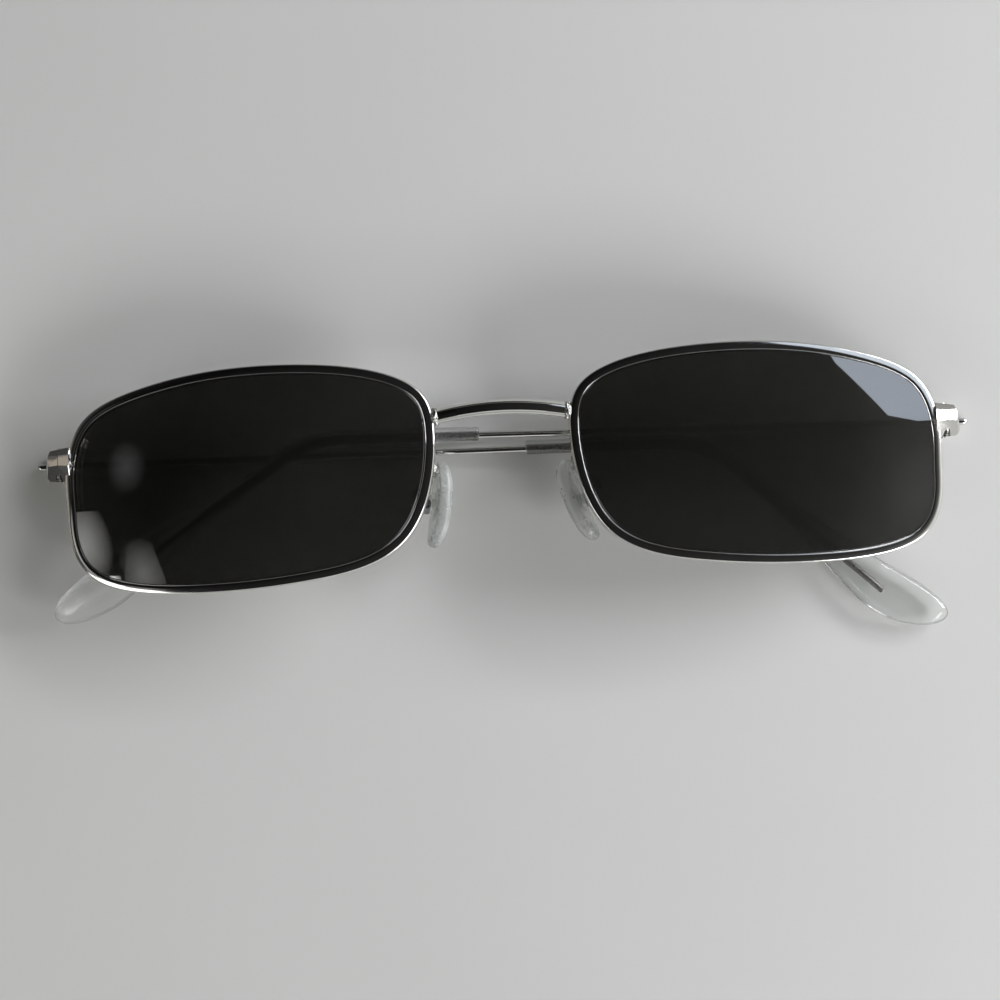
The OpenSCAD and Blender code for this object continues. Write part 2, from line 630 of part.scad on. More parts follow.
module pad_insert_left() { side(false) pad_insert(pad_x_left, rock_left); }
module pad_insert_right() { side(true) pad_insert(pad_x_right, rock_right); }
module nose_pad_left() { side(false) nose_pad(pad_x_left, rock_left); }
module nose_pad_right() { side(true) nose_pad(pad_x_right, rock_right); }
module hinge_temple_left() { side(false) hinge_temple(lift_left, slant_left); }
module hinge_temple_right() { side(true) hinge_temple(lift_right, slant_right); }
module temple_bar_left() {
    side(false) temple_place(lift_left, slant_left) temple_bar(bend_at_left, bend_left);
}
module temple_bar_right() {
    side(true) temple_place(lift_right, slant_right) temple_bar(bend_at_right, bend_right);
}
module temple_tip_left() {
    side(false) temple_place(lift_left, slant_left) temple_tip(bend_at_left, bend_left, 0, hook_left);
}
module temple_tip_right() {
    side(true) temple_place(lift_right, slant_right)
        temple_tip(bend_at_right, bend_right, twist_right, hook_right);
}

rim_left();
rim_right();
lens_left();
lens_right();
bridge();
endpiece_left();
endpiece_right();
lock_upper_left();
lock_upper_right();
lock_lower_left();
lock_lower_right();
lock_screw_left();
lock_screw_right();
hinge_front_left();
hinge_front_right();
hinge_screw_left();
hinge_screw_right();
pad_arm_left();
pad_arm_right();
pad_box_left();
pad_box_right();
pad_screw_left();
pad_screw_right();
pad_insert_left();
pad_insert_right();
nose_pad_left();
nose_pad_right();
hinge_temple_left();
hinge_temple_right();
temple_bar_left();
temple_bar_right();
temple_tip_left();
temple_tip_right();
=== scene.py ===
# Folded metal sunglasses, lying on their back on a pale table.
# Sizes are in millimetres, in the glasses' own axes: x along the front, y to its top, z the way the lenses
# face, with zero midway between the lenses. Mesh points are in metres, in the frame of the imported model.

import bpy
import bmesh
import json
import math
from mathutils import Matrix, Vector, noise


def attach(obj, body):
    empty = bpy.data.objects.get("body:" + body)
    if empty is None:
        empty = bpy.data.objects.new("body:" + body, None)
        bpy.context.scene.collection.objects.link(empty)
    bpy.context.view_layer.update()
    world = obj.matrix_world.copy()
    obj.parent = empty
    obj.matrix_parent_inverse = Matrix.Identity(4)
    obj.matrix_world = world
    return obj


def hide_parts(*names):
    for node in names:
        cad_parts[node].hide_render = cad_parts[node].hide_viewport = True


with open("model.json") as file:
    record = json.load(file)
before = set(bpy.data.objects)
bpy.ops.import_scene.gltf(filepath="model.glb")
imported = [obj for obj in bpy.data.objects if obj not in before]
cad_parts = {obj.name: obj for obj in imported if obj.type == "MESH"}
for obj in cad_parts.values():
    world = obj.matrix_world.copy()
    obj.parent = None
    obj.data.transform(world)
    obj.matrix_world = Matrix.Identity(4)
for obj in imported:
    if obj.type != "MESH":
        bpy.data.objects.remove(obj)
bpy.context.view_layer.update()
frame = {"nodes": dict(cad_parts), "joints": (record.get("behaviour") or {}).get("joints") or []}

MM = 0.001
SIDES = ("left", "right")
nodes = frame["nodes"]
joints = {j["name"]: j for j in frame["joints"]}

# Sizes of the front
LENS_W, LENS_H, LENS_GAP = 50.6, 29.2, 20.9
LENS_T, LENS_R, FACE_ANGLE = 2.0, 130.0, 5.0
BEVEL_H, BEVEL_W = 0.35, 0.7
RIM_W, RIM_D, SPLIT_GAP = 1.4, 1.9, 0.2
BRIDGE_Y, BRIDGE_RISE, BRIDGE_ARCH = 7.0, 1.0, 1.2
BRIDGE_W, BRIDGE_T = 2.0, 1.6
END_H, END_OUT, END_D, FACET_H, FACET_BEVEL = 4.8, 3.0, 2.6, 1.65, 1.1
END_WALL, LIP_COVER = 0.7, 0.35
LOCK_REACH, LOCK_H, LOCK_DEPTH, LOCK_SINK = 1.69, 4.0, 1.8, 0.7
SCREW_REACH, SCREW_BACK, HEAD_R = 1.05, 0.75, 0.6
HINGE_Y, HINGE_BACK = 3.3, 10.6

# Sizes of the temples and their tips
TEMPLE_LEN, BAR_W, BAR_OFF, BUTT_LEN, BEND_R = 135.0, 1.0, 1.3, 4.3, 16.0
CORE_LEN, TIP_LEN, SLEEVE_W, SLEEVE_OFF = 27.5, 68.4, 2.1, 0.2
PADDLE_W, PADDLE_T = 7.1, 2.8
TEMPLES = {
    "left": {"lift": 0.5, "slant": -0.7, "at": 92.4, "bend": 42.0, "twist": 0.0, "hook": 2.8},
    "right": {"lift": 1.65, "slant": 1.25, "at": 90.8, "bend": 34.4, "twist": 36.0, "hook": 0.6},
}

# Sizes of the nose pads and their arms
PAD_LEN, PAD_W, PAD_T, PAD_BOW, PAD_OFF = 12.2, 6.6, 2.1, 0.6, 1.5
PAD_X = {"left": 11.5, "right": 12.1}
PAD_DROP, PAD_BACK, PAD_SPLAY, PAD_LEAN = 4.7, 5.9, 12.0, 13.5
PAD_ROCK = {"left": -5.0, "right": 6.5}
ARM_W, ARM_Y, BOX_REAR = 1.0, 0.3, 1.35

# The frame's own joint gives where the glasses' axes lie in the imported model
hinge_at = Vector(joints["temple_hinge_right"]["pos_m"]) / MM
HINGE_X = hinge_at.x
FRONT = Vector((0, hinge_at.y - HINGE_Y, hinge_at.z + HINGE_BACK))


def to_frame(p, side="right"):
    """Point of the right half of the glasses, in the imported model's frame and in metres."""
    x = p[0] if side == "right" else -p[0]
    return (Vector((x, p[1], p[2])) + FRONT) * MM


# The camera looks straight down from above the bridge, rolled a little
CAMERA_AT = (-0.775, -4.736, 254.75)
CAMERA_ROLL = 2.948
FOCAL_PX, PHOTO_PX, SENSOR = 1838, 1000, 36
camera_data = bpy.data.cameras.new("camera")
camera_data.sensor_width = SENSOR
camera_data.lens = FOCAL_PX / PHOTO_PX * SENSOR
camera_data.clip_start = 0.01
camera = bpy.data.objects.new("camera", camera_data)
camera.location = to_frame(CAMERA_AT)
camera.rotation_euler = (0, 0, -math.radians(CAMERA_ROLL))
bpy.context.scene.collection.objects.link(camera)
bpy.context.scene.camera = camera

# Lens outline: control points as shares of half its width and height, from the temple side over the top.
# A place on it is given as the number of its control point, with fractions between two of them
OUTLINE = [
    (1.01, 0.08), (0.95, 0.62), (0.64, 0.84), (0.13, 1.02), (-0.55, 0.99), (-0.93, 0.80),
    (-1.04, 0.48), (-0.93, -0.76), (-0.31, -0.95), (0.24, -1.02), (1.01, -0.96), (0.99, -0.14),
]
TURNS = len(OUTLINE)
OUTLINE_STEPS, STEP, HALVINGS = 240, 0.01, 30
TEMPLE_SIDE, NOSE_SIDE = (-1, 1.5), (4.5, 7.5)


def spline_at(t):
    """Point of the smooth closed curve that the control points pull into shape."""
    i = math.floor(t)
    f = t - i
    weights = ((1 - f) ** 3, 3 * f**3 - 6 * f**2 + 4, -3 * f**3 + 3 * f**2 + 3 * f + 1, f**3)
    near = [OUTLINE[(i + k - 1) % TURNS] for k in range(4)]
    x = sum(w * p[0] for w, p in zip(weights, near)) / 6
    y = sum(w * p[1] for w, p in zip(weights, near)) / 6
    return x, y


outline_points = [spline_at(k * TURNS / OUTLINE_STEPS) for k in range(OUTLINE_STEPS)]
U_LO, U_HI = min(p[0] for p in outline_points), max(p[0] for p in outline_points)
V_LO, V_HI = min(p[1] for p in outline_points), max(p[1] for p in outline_points)


def edge(t):
    """Point of the lens edge."""
    x, y = spline_at(t)
    u, v = (x - U_LO) / (U_HI - U_LO), (y - V_LO) / (V_HI - V_LO)
    return Vector((LENS_W * (u - 0.5), LENS_H * (v - 0.5)))


def edge_step(t):
    """Short step along the lens edge."""
    return edge(t + STEP) - edge(t - STEP)


def edge_out(t, d):
    """Point a distance d outside the lens edge."""
    step = edge_step(t)
    return edge(t) + d * Vector((step.y, -step.x)).normalized()


def at_height(y, a, b):
    """Place on the lens edge between a and b that lies at height y, found by halving."""
    for _ in range(HALVINGS):
        m = (a + b) / 2
        if (edge(m).y - y) * (edge(b).y - y) <= 0:
            a = m
        else:
            b = m
    return (a + b) / 2


LENS_X = (LENS_GAP + LENS_W) / 2
RIM_OUT = RIM_W - BEVEL_H
TURN = math.radians(FACE_ANGLE)


def on_lens(p, w):
    """Point of the right half that lies over lens point p, a distance w in front of the lens surface."""
    h = w - (p[0] ** 2 + p[1] ** 2) / (2 * LENS_R)
    return Vector((
        LENS_X + p[0] * math.cos(TURN) + h * math.sin(TURN),
        p[1],
        h * math.cos(TURN) - p[0] * math.sin(TURN),
    ))


T_SPLIT = at_height(HINGE_Y, *TEMPLE_SIDE)
T_BRIDGE = at_height(BRIDGE_Y, *NOSE_SIDE)
T_ARM = at_height(ARM_Y, *NOSE_SIDE)
RIM_SIDE = on_lens(edge_out(T_SPLIT, RIM_OUT), 0)
END_X = RIM_SIDE.x + END_OUT
END_FRONT = RIM_SIDE.z + RIM_D / 2 + LIP_COVER
END_BACK = END_FRONT - END_D

# Mesh helpers. WELD joins points of a skin, in metres. CUT_WELD joins those of a cut block, in millimetres,
# and a point that lies closer than CUT_DIST to a cut counts as lying on it
WELD, CUT_WELD, CUT_DIST = 2e-7, 1e-4, 1e-6


def spread(a, b, n):
    """Values from a to b in n even steps."""
    return [a + (b - a) * k / n for k in range(n + 1)]


def ease(f):
    """Share that starts and ends softly as f goes from 0 to 1."""
    g = max(0.0, min(1.0, f))
    return g * g * (3 - 2 * g)


def arc(cx, cy, r, a0, a1, n):
    """Points of an arc of radius r round (cx, cy), in n steps."""
    angles = [math.radians(a) for a in spread(a0, a1, n)]
    return [(cx + r * math.cos(a), cy + r * math.sin(a)) for a in angles]


def oval(w, t, n, power):
    """Points of a squared oval w wide and t high."""
    points = []
    for k in range(n):
        c, s = math.cos(2 * math.pi * k / n), math.sin(2 * math.pi * k / n)
        x, y = math.copysign(abs(c) ** power, c), math.copysign(abs(s) ** power, s)
        points.append((x * w / 2, y * t / 2))
    return points


def round_bar(path, radius):
    """Rings of a round bar along a path of points."""
    up, sides = Vector((0, 1, 0.3)), 24
    angles = [2 * math.pi * k / sides for k in range(sides)]
    rings = []
    for i, p in enumerate(path):
        d = (path[min(i + 1, len(path) - 1)] - path[max(i - 1, 0)]).normalized()
        u = d.cross(up).normalized()
        v = d.cross(u)
        rings.append([p + radius * (math.cos(a) * u + math.sin(a) * v) for a in angles])
    return rings


def fill_holes(bm):
    """Closes a mesh where it is open."""
    bmesh.ops.holes_fill(bm, edges=[e for e in bm.edges if e.is_boundary], sides=0)


def loft(rings):
    """Skin over rings of equal point counts, closed at both ends."""
    bm = bmesh.new()
    rows, cols = len(rings), len(rings[0])
    bmesh.ops.create_grid(bm, x_segments=rows - 1, y_segments=cols, size=0.5)
    for v in bm.verts:
        i = round((v.co.x + 0.5) * (rows - 1))
        j = round((v.co.y + 0.5) * cols) % cols
        v.co = rings[i][j]
    bmesh.ops.remove_doubles(bm, verts=bm.verts, dist=WELD)
    fill_holes(bm)
    bmesh.ops.recalc_face_normals(bm, faces=bm.faces)
    return bm


def set_in_frame(bm, side):
    """Moves a mesh drawn in millimetres for the right half into the frame, mirrored for the left."""
    for v in bm.verts:
        v.co = to_frame(v.co, side)
    bmesh.ops.recalc_face_normals(bm, faces=bm.faces)


def block(low, high):
    """Box between two corners."""
    bm = bmesh.new()
    bmesh.ops.create_cube(bm, size=1)
    low, high = Vector(low), Vector(high)
    for v in bm.verts:
        v.co = (low + high) / 2 + Vector([c * s for c, s in zip(v.co, high - low)])
    return bm


def cut(bm, point, normal):
    """Takes off everything on the normal's side of a plane and closes the cut."""
    geometry = list(bm.verts) + list(bm.edges) + list(bm.faces)
    bmesh.ops.bisect_plane(
        bm, geom=geometry, plane_co=point, plane_no=normal, clear_outer=True, dist=CUT_DIST
    )
    fill_holes(bm)


def soften(bm, width):
    """Rounds every edge of a block."""
    bmesh.ops.remove_doubles(bm, verts=bm.verts, dist=CUT_WELD)
    bmesh.ops.bevel(
        bm, geom=bm.edges[:], offset=width, offset_type="OFFSET", affect="EDGES", segments=3, profile=0.5,
        material=-1, clamp_overlap=True,
    )


def new_object(bm, name):
    """Mesh object in the scene, made from a bmesh that is then freed."""
    mesh = bpy.data.meshes.new(name)
    bm.to_mesh(mesh)
    bm.free()
    made = bpy.data.objects.new(name, mesh)
    bpy.context.scene.collection.objects.link(made)
    return made


def finish_piece(bm, name, body, look, replaced=(), sharp=35):
    """Makes a mesh a piece on its body, in its material, smooth but for edges sharper than that angle."""
    for f in bm.faces:
        f.smooth = True
    for e in bm.edges:
        e.smooth = len(e.link_faces) == 2 and e.calc_face_angle() < math.radians(sharp)
    piece = new_object(bm, name)
    piece.data.materials.append(look)
    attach(piece, body)
    if replaced:
        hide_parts(*replaced)
    return piece


def subtract(piece, cutters):
    """Cuts other meshes out of a piece for good."""
    for cutter in cutters:
        change = piece.modifiers.new("cut", "BOOLEAN")
        change.operation = "DIFFERENCE"
        change.solver = "EXACT"
        change.object = cutter
    evaluated = piece.evaluated_get(bpy.context.evaluated_depsgraph_get())
    mesh = bpy.data.meshes.new_from_object(evaluated)
    piece.modifiers.clear()
    piece.data = mesh
    for cutter in cutters:
        bpy.data.objects.remove(cutter)


# Materials. Real scratches, tool marks and the skin of silicone are finer than these, which are drawn just
# coarse enough to show
def linear(hex_colour):
    """Linear colour of an sRGB hex value."""
    parts = [int(hex_colour[k : k + 2], 16) / 255 for k in (1, 3, 5)]
    return [c / 12.92 if c <= 0.04045 else ((c + 0.055) / 1.055) ** 2.4 for c in parts] + [1]


def add(tree, kind, settings=(), links=()):
    """New node with settings for its sockets or its own fields, and links into its sockets."""
    node = tree.nodes.new(kind)
    for key, value in dict(settings).items():
        if key in node.inputs:
            node.inputs[key].default_value = value
        else:
            setattr(node, key, value)
    for key, source in dict(links).items():
        tree.links.new(source, node.inputs[key])
    return node


def material(name, settings):
    """New material: itself, its node tree, its shader with those settings, and Object coordinates."""
    made = bpy.data.materials.new(name)
    made.use_nodes = True
    tree = made.node_tree
    shader = tree.nodes["Principled BSDF"]
    for key, value in settings.items():
        shader.inputs[key].default_value = value
    return made, tree, shader, add(tree, "ShaderNodeTexCoord").outputs["Object"]


def per_mm(size):
    """Texture scale at which one period of a pattern is that many millimetres."""
    return 1 / (size * MM)


def surface(tree, shader, colour, roughness=None, relief=None):
    """Lets patterns vary a shader: colour and roughness between two values, and height in millimetres."""
    pattern, first, second = colour
    ramp = add(tree, "ShaderNodeValToRGB", links={"Fac": pattern.outputs[0]})
    ramp.color_ramp.elements[0].color = linear(first)
    ramp.color_ramp.elements[1].color = linear(second)
    tree.links.new(ramp.outputs["Color"], shader.inputs["Base Color"])
    if roughness:
        pattern, first, second = roughness
        span = {"To Min": first, "To Max": second}
        mapped = add(tree, "ShaderNodeMapRange", span, {"Value": pattern.outputs[0]})
        tree.links.new(mapped.outputs["Result"], shader.inputs["Roughness"])
    if relief:
        pattern, height = relief
        bump = add(tree, "ShaderNodeBump", {"Distance": height * MM}, {"Height": pattern.outputs[0]})
        tree.links.new(bump.outputs["Normal"], shader.inputs["Normal"])


def grained_metal(name, grain, detail, colours, roughness, relief):
    """Metal whose colour, roughness and height all follow one grain."""
    made, tree, shader, at = material(name, {"Metallic": 1})
    marks = add(tree, "ShaderNodeTexNoise", {"Scale": per_mm(grain), "Detail": detail}, {"Vector": at})
    surface(tree, shader, (marks, *colours), (marks, *roughness), (marks, relief))
    return made


def polished_nickel():
    """Nickel plate buffed to a mirror: neutral reflections, faint handling haze and hairline scratches."""
    made, tree, shader, at = material("polished_nickel_plate", {"Metallic": 1})
    haze = add(tree, "ShaderNodeTexNoise", {"Scale": per_mm(3), "Detail": 4}, {"Vector": at})
    lie = {"Scale": (1, 1, 0.12), "Rotation": (0.4, 0.3, 0.2)}
    stretched = add(tree, "ShaderNodeMapping", lie, {"Vector": at}).outputs["Vector"]
    hairlines = add(tree, "ShaderNodeTexNoise", {"Scale": per_mm(0.12), "Detail": 2}, {"Vector": stretched})
    surface(tree, shader, (haze, "#D2D1CD", "#E4E3E0"), (haze, 0.05, 0.13), (hairlines, 0.0012))
    return made


def tumbled_nickel():
    """Nickel plate on small hidden parts, only tumbled: satin and greyer than the buffed plate."""
    return grained_metal("tumbled_nickel_plate", 0.6, 3, ("#C6C5C1", "#DDDCD8"), (0.4, 0.55), 0.006)


def brazed_joint():
    """Silver brazing under the plate: the same metal, lumpy and less buffed, glinting in specks, with
    dimples in painted shade.
    """
    # Painted shade: the darker first colour falls where the grain is low, so the dimples between the lumps
    # are painted dark
    return grained_metal("plated_brazing_painted_shade", 0.45, 4, ("#5E5D59", "#D8D7D3"), (0.1, 0.3), 0.25)


def turned_steel():
    """Turned stainless screws: fine tool marks and a duller shine than the plate."""
    return grained_metal("turned_stainless_steel", 0.15, 3, ("#A8A7A3", "#C9C8C4"), (0.18, 0.34), 0.004)


def drawn_core():
    """The wire's end inside a tip: drawn nickel silver, its colour painted dark as a painted reflection of
    the dark room above.
    """
    # Painted reflection: these dark colours stand in for the dark room that the wire mirrors inside the tip
    return grained_metal("nickel_silver_core_painted_dark", 0.4, 4, ("#4A4946", "#8E8C88"), (0.2, 0.4), 0.01)


def smoke_lens():
    """Dyed plastic lens under a thin mirror coat: nearly black and mirror smooth, with a film of dust."""
    made, tree, shader, at = material("smoke_tinted_plastic_lens", {
        "IOR": 1.5, "Transmission Weight": 0.95,
        "Coat Weight": 1, "Coat IOR": 3.5, "Coat Roughness": 0.01,
    })
    cloud = add(tree, "ShaderNodeTexNoise", {"Scale": per_mm(14), "Detail": 3}, {"Vector": at})
    dust = add(tree, "ShaderNodeTexVoronoi", {"Scale": per_mm(2.6)}, {"Vector": at})
    surface(tree, shader, (cloud, "#383833", "#3E3E39"), (dust, 0.05, 0.0))
    return made


def clear_tip():
    """Clear cellulose tip, dipped and polished: glassy, a little milky inside, with slight waves."""
    made, tree, shader, at = material("clear_acetate_tip", {
        "IOR": 1.47, "Transmission Weight": 0.92, "Alpha": 0.7, "Specular IOR Level": 1,
    })
    cloud = add(tree, "ShaderNodeTexNoise", {"Scale": per_mm(5), "Detail": 3}, {"Vector": at})
    surface(tree, shader, (cloud, "#F4F6F3", "#FDFEFD"), (cloud, 0.02, 0.1), (cloud, 0.15))
    return made


def silicone_pad():
    """Moulded clear silicone: cloudy and soft to the eye, with a fine matt skin."""
    made, tree, shader, at = material("moulded_clear_silicone", {
        "IOR": 1.41, "Transmission Weight": 0.75, "Specular IOR Level": 0.9,
    })
    cloud = add(tree, "ShaderNodeTexNoise", {"Scale": per_mm(2.5), "Detail": 4}, {"Vector": at})
    skin = add(tree, "ShaderNodeTexNoise", {"Scale": per_mm(0.2), "Detail": 2}, {"Vector": at})
    surface(tree, shader, (cloud, "#E2E4E1", "#F6F8F5"), (cloud, 0.15, 0.4), (skin, 0.006))
    return made


def stiff_insert():
    """Moulded clear polycarbonate core of a pad, a little greyer than the silicone around it."""
    made, tree, shader, at = material("moulded_clear_polycarbonate", {
        "IOR": 1.58, "Transmission Weight": 0.8, "Alpha": 0.8,
    })
    cloud = add(tree, "ShaderNodeTexNoise", {"Scale": per_mm(1.5), "Detail": 3}, {"Vector": at})
    surface(tree, shader, (cloud, "#CDCFCC", "#E2E4E1"), (cloud, 0.12, 0.3))
    return made


def painted_table():
    """Matt painted board of the table: pale grey, faintly mottled."""
    made, tree, shader, at = material("painted_table", {"Roughness": 0.55})
    mottle = add(tree, "ShaderNodeTexNoise", {"Scale": per_mm(60), "Detail": 3}, {"Vector": at})
    surface(tree, shader, (mottle, "#D4D4D0", "#DADAD6"))
    return made


NICKEL, SATIN, BRAZING, STEEL = polished_nickel(), tumbled_nickel(), brazed_joint(), turned_steel()
CORE = drawn_core()
SMOKE, CLEAR, SILICONE, INSERT = smoke_lens(), clear_tip(), silicone_pad(), stiff_insert()

# Rims. The section's inner front edge is given as distances out from the lens edge and back from the front
RIM_STEPS, RIM_LIP, GROOVE_PLAY = 220, 0.15, 0.1
RIM_INNER = [(-BEVEL_H, 0.42), (-0.31, 0.26), (-0.24, 0.13), (-0.14, 0.05)]
CROWN_IN, CROWN_STEP, CROWN_RISE = -0.02, 0.20, 0.06
FRONT_ROUND, FRONT_SINK, BACK_ROUND = 0.3, 0.32, 0.5


def rim_section():
    """Rim wire as distances out and forward: crowned front, fine inner lip, grooved inside."""
    half, groove = RIM_D / 2, BEVEL_W / 2 + GROOVE_PLAY
    inner = [(out, half - back) for out, back in RIM_INNER]
    crown = []
    for k in range(5):
        rise = CROWN_RISE * math.sin(math.pi * (0.2 + 0.15 * k))
        crown.append((CROWN_IN + CROWN_STEP * k, half - CROWN_RISE + rise))
    outer = arc(RIM_OUT - FRONT_ROUND, half - FRONT_SINK, FRONT_ROUND, 75, 0, 7)
    back = arc(RIM_OUT - BACK_ROUND, BACK_ROUND - half, BACK_ROUND, 0, -90, 6)
    lip = [(RIM_LIP - BEVEL_H, -half), (-BEVEL_H, RIM_LIP - half)]
    return [(-BEVEL_H, groove)] + inner + crown + outer + back + lip + [(-BEVEL_H, -groove), (0.0, 0.0)]


def make_rim(side):
    """Rim wire round its lens, open by a fine gap where the lock closes it."""
    section = rim_section()
    gap = SPLIT_GAP / 2 / (edge_step(T_SPLIT).length / (2 * STEP))
    ts = [T_SPLIT + gap + k * (TURNS - 2 * gap) / RIM_STEPS for k in range(RIM_STEPS + 1)]
    bm = loft([[to_frame(on_lens(edge_out(t, d), w), side) for d, w in section] for t in ts])
    finish_piece(bm, f"rim_wire_{side}", "front", NICKEL, [f"rim_{side}"], sharp=32)


# Lenses
LENS_STEPS, LENS_RINGS, LENS_CENTRE = 200, 16, 0.01
LENS_PLAY, LENS_ROUND, ROUND_SHARE = 0.04, 0.05, 0.998


def make_lens(side):
    """Curved lens blank with a bevel round its edge."""
    ts = [T_SPLIT + k * TURNS / LENS_STEPS for k in range(LENS_STEPS)]
    inset, face = -BEVEL_H - LENS_PLAY, LENS_T / 2

    def ring(share, w):
        return [to_frame(on_lens(share * edge_out(t, inset), w), side) for t in ts]

    front = [(LENS_CENTRE, face)] + [(k / LENS_RINGS, face) for k in range(1, LENS_RINGS)]
    front += [(ROUND_SHARE, face), (1.0, face - LENS_ROUND), (1.0, BEVEL_W / 2)]
    rings = [ring(share, w) for share, w in front]
    rings += [[to_frame(on_lens(edge(t), 0), side) for t in ts]]
    rings += [ring(share, -w) for share, w in reversed(front)]
    finish_piece(loft(rings), f"lens_blank_{side}", "front", SMOKE, [f"lens_{side}"])


# Bridge
BRIDGE_BITE, BRIDGE_FORWARD, BRIDGE_FLAT, BRIDGE_STEPS = 0.25, 0.1, 0.5, 48


def bridge_section():
    """Bridge bar as heights and depths: a flat front between rounded edges, and a flat back."""
    half_w, half_t = BRIDGE_W / 2, BRIDGE_T / 2
    edge_points = [
        (BRIDGE_FLAT, half_t - 0.02), (BRIDGE_FLAT + 0.08, half_t - 0.06),
        (half_w - 0.1, 0.36), (half_w - 0.02, 0.26), (half_w, 0.12),
        (half_w, -0.35), (half_w - 0.15, 0.2 - half_t),
        (half_w - 0.35, 0.05 - half_t), (half_w - 0.5, -half_t),
    ]
    return [(0, half_t)] + [(-q, w) for q, w in edge_points] + list(reversed(edge_points))


def make_bridge():
    """Arched bridge bar between the two rims."""
    foot = on_lens(edge_out(T_BRIDGE, RIM_OUT - BRIDGE_BITE), BRIDGE_FORWARD)
    path = []
    for k in range(BRIDGE_STEPS + 1):
        f = 2 * k / BRIDGE_STEPS - 1
        rise, arch = BRIDGE_RISE * (1 - f * f), BRIDGE_ARCH * (1 - f * f)
        path.append(Vector((f * foot.x, foot.y + rise, foot.z + arch)))
    section, rings = bridge_section(), []
    for i, p in enumerate(path):
        d = path[min(i + 1, BRIDGE_STEPS)] - path[max(i - 1, 0)]
        a = math.atan2(d.y, d.x)
        rings.append([to_frame(p + Vector((-q * math.sin(a), q * math.cos(a), w))) for q, w in section])
    finish_piece(loft(rings), "bridge_bar", "front", NICKEL, ["bridge"], sharp=24)


# Lumps of brazing: middle from the joint, half the size along each axis, and a number that makes the bumps
# their own. Broad and fine bumps are each a height, as a share of the lump, and a density
BROAD_BUMPS, FINE_BUMPS = (0.2, 1.7), (0.1, 5)
BEADS = {
    "arm_brazing": ((0, 0, -0.15), (0.85, 0.8, 0.45), 3),
    "bridge_brazing": ((-0.2, 0, 0.2), (0.7, 1.3, 0.98), 7),
    "end_brazing": ((-0.45, 0, 0.35), (0.9, 1.7, 0.95), 11),
}


def bead(name, side, joint):
    """Lump of brazing metal where two pieces are joined, with broad and fine bumps."""
    offset, sizes, seed = BEADS[name]
    (broad, broad_density), (fine, fine_density) = BROAD_BUMPS, FINE_BUMPS
    centre = joint + Vector(offset)
    bm = bmesh.new()
    bmesh.ops.create_icosphere(bm, subdivisions=5, radius=1)
    for v in bm.verts:
        lump = 1 + broad * noise.noise(v.co * broad_density + Vector((seed, 0, 0)))
        lump += fine * noise.noise(v.co * fine_density)
        p = Vector([c * s * lump for c, s in zip(v.co, sizes)])
        v.co = to_frame(centre + p, side)
    bmesh.ops.recalc_face_normals(bm, faces=bm.faces)
    finish_piece(bm, f"{name}_{side}", "front", BRAZING, sharp=60)


# Endpieces. Their front starts RIM_RISE above the rim and drops to a fold, and from there to its outer end
END_LIFT, END_BITE, FOLD_SHARE, FRONT_INSET = 0.1, 0.45, 0.4, 0.2
RIM_RISE, FOLD_DROP, END_DROP = 0.32, 0.35, 1.13
FACET_TILT, UPPER_PITCH, LOWER_PITCH, SIDE_LEAN = 0.08, 0.6, 0.8, 0.7
GROOVE_HALF, GROOVE_DEEP, GROOVE_LIFT = 0.04, 0.1, 0.1
END_ROUND, FLAT_SHARP = 0.07, 8
END_LOW = HINGE_Y - END_H / 2 + END_LIFT
END_TOP = END_LOW + END_H
FACET_LOW = END_TOP - FACET_BEVEL - FACET_H
END_IN, FRONT_X = RIM_SIDE.x - END_BITE, END_X - FRONT_INSET
FOLD_X = RIM_SIDE.x + FOLD_SHARE * END_OUT

# Rim locks, and the room for them in the endpieces. Cutters reach SPARE past what they cut
LOCK_FRONT, LOCK_FOOT = END_FRONT - END_WALL, HINGE_Y - LOCK_H / 2
LOCK_BITE, LOCK_PLAY, LOCK_GAP, LOCK_ROUND = 0.3, 0.03, 0.01, 0.05
ROOM_WALL, HEAD_PLAY, SPARE = 0.35, 0.1, 1

# Cuts across the endpiece: how far past END_X and at what height each lies, and the way it faces
END_CUTS = {
    "lower corner": (-0.3, END_LOW, 0.9, -0.8),
    "outer side": (0.5, END_LOW + 0.9, END_TOP - 2.1 - END_LOW, 0.6),
    "upper corner": (-0.1, END_TOP - 1.3, 0.95, 0.4),
    "top": (-0.5, END_TOP - 0.35, 0.55, END_OUT + 1.1),
}


def slope_front(bm, inset):
    """Gives a block the endpiece's front: two facets that meet in a fold, and a bevel above and below."""
    run, fall, low = FRONT_X - END_IN, END_DROP + RIM_RISE, FACET_LOW - END_LOW
    in_run, out_run = FOLD_X - END_IN, FRONT_X - FOLD_X
    fold = (FOLD_X, END_TOP - FACET_BEVEL - FACET_H / 2, END_FRONT - FOLD_DROP)
    planes = [
        ((END_IN, FACET_LOW, END_FRONT + RIM_RISE), (fall * low, -run * LOWER_PITCH, run * low)),
        ((END_IN, END_TOP - FACET_BEVEL, END_FRONT + RIM_RISE), (fall, run * UPPER_PITCH, run)),
        (fold, (RIM_RISE + FOLD_DROP, FACET_TILT * in_run, in_run)),
        (fold, (END_DROP - FOLD_DROP, FACET_TILT * out_run, out_run)),
    ]
    for point, normal in planes:
        normal = Vector(normal).normalized()
        cut(bm, Vector(point) - inset * normal, normal)


